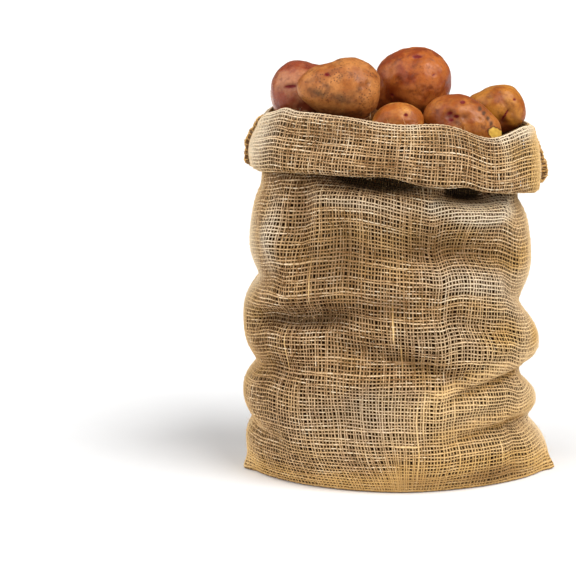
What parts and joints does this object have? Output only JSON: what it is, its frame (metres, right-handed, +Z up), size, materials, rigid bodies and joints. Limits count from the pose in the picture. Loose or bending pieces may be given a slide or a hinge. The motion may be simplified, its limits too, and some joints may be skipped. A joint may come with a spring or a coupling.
{
  "type": "hessian sack filled with potatoes",
  "caption": "Open-mouthed woven jute sack standing upright, its mouth rolled down into a deep cuff, creased where it bulges over its filling of loose potatoes.",
  "frame": {"origin": "on the floor, under the middle of the part's box", "axes": "+Z up, -Y out of the sack's front face, +X towards the front face's right-hand side seam as a viewer sees it"},
  "size_m": [0.315, 0.2252, 0.4245],
  "materials": {
    "hessian": "open plain-weave undyed jute, matt and hairy, paler on the cuff",
    "potato_skin": "thin potato skin, red-brown to tan, satin, with eyes, small spots and traces of soil",
    "potato_fill": "potato skin in shade, duller"
  },
  "bodies": {
    "root": {"sack": "hessian", "potato_fill": "potato_fill", "potato_small": "potato_skin", "potato_front_right": "potato_skin", "potato_front_left": "potato_skin", "potato_left": "potato_skin", "potato_right": "potato_skin", "potato_big": "potato_skin", "potato_back_left": "potato_skin", "potato_back_right": "potato_skin"}
  },
  "joints": []
}
